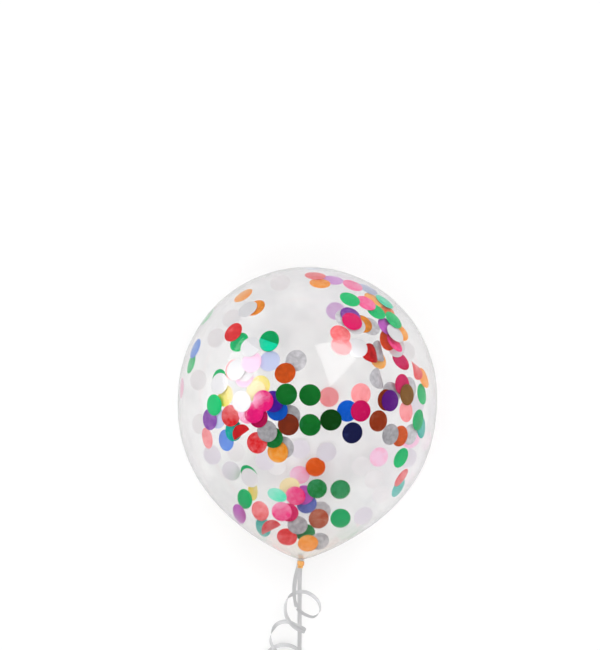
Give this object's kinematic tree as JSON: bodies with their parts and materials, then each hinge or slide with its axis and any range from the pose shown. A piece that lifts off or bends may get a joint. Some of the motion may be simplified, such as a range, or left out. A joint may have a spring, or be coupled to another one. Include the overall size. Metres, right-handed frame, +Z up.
{
  "type": "confetti balloon",
  "caption": "Clear latex balloon with foil confetti sealed inside, tied at the neck with a curling ribbon, lying on its side.",
  "frame": {"origin": "on the surface the balloon lies on, under the middle of the balloon's length and width", "axes": "+Z up, +Y along the balloon's axis towards its crown, so that the knot and the ribbon are at -Y"},
  "size_m": [0.3, 0.5399, 0.2985],
  "materials": {
    "clear_latex": "clear natural latex film, glossy, faintly grey where it is seen edge on, amber where it is bunched at the knot",
    "ribbon": "pale silver-grey curling ribbon with a satin sheen and fine lengthwise ribs",
    "confetti": "round foil confetti in green, mint, orange, red, magenta, pink, blue, purple, copper, silver and pale tints"
  },
  "bodies": {
    "root": {"balloon": "clear_latex", "ribbon_tie": "ribbon", "ribbon_tail": "ribbon", "ribbon_curl": "ribbon", "ribbon_coil": "ribbon"}
  },
  "joints": []
}
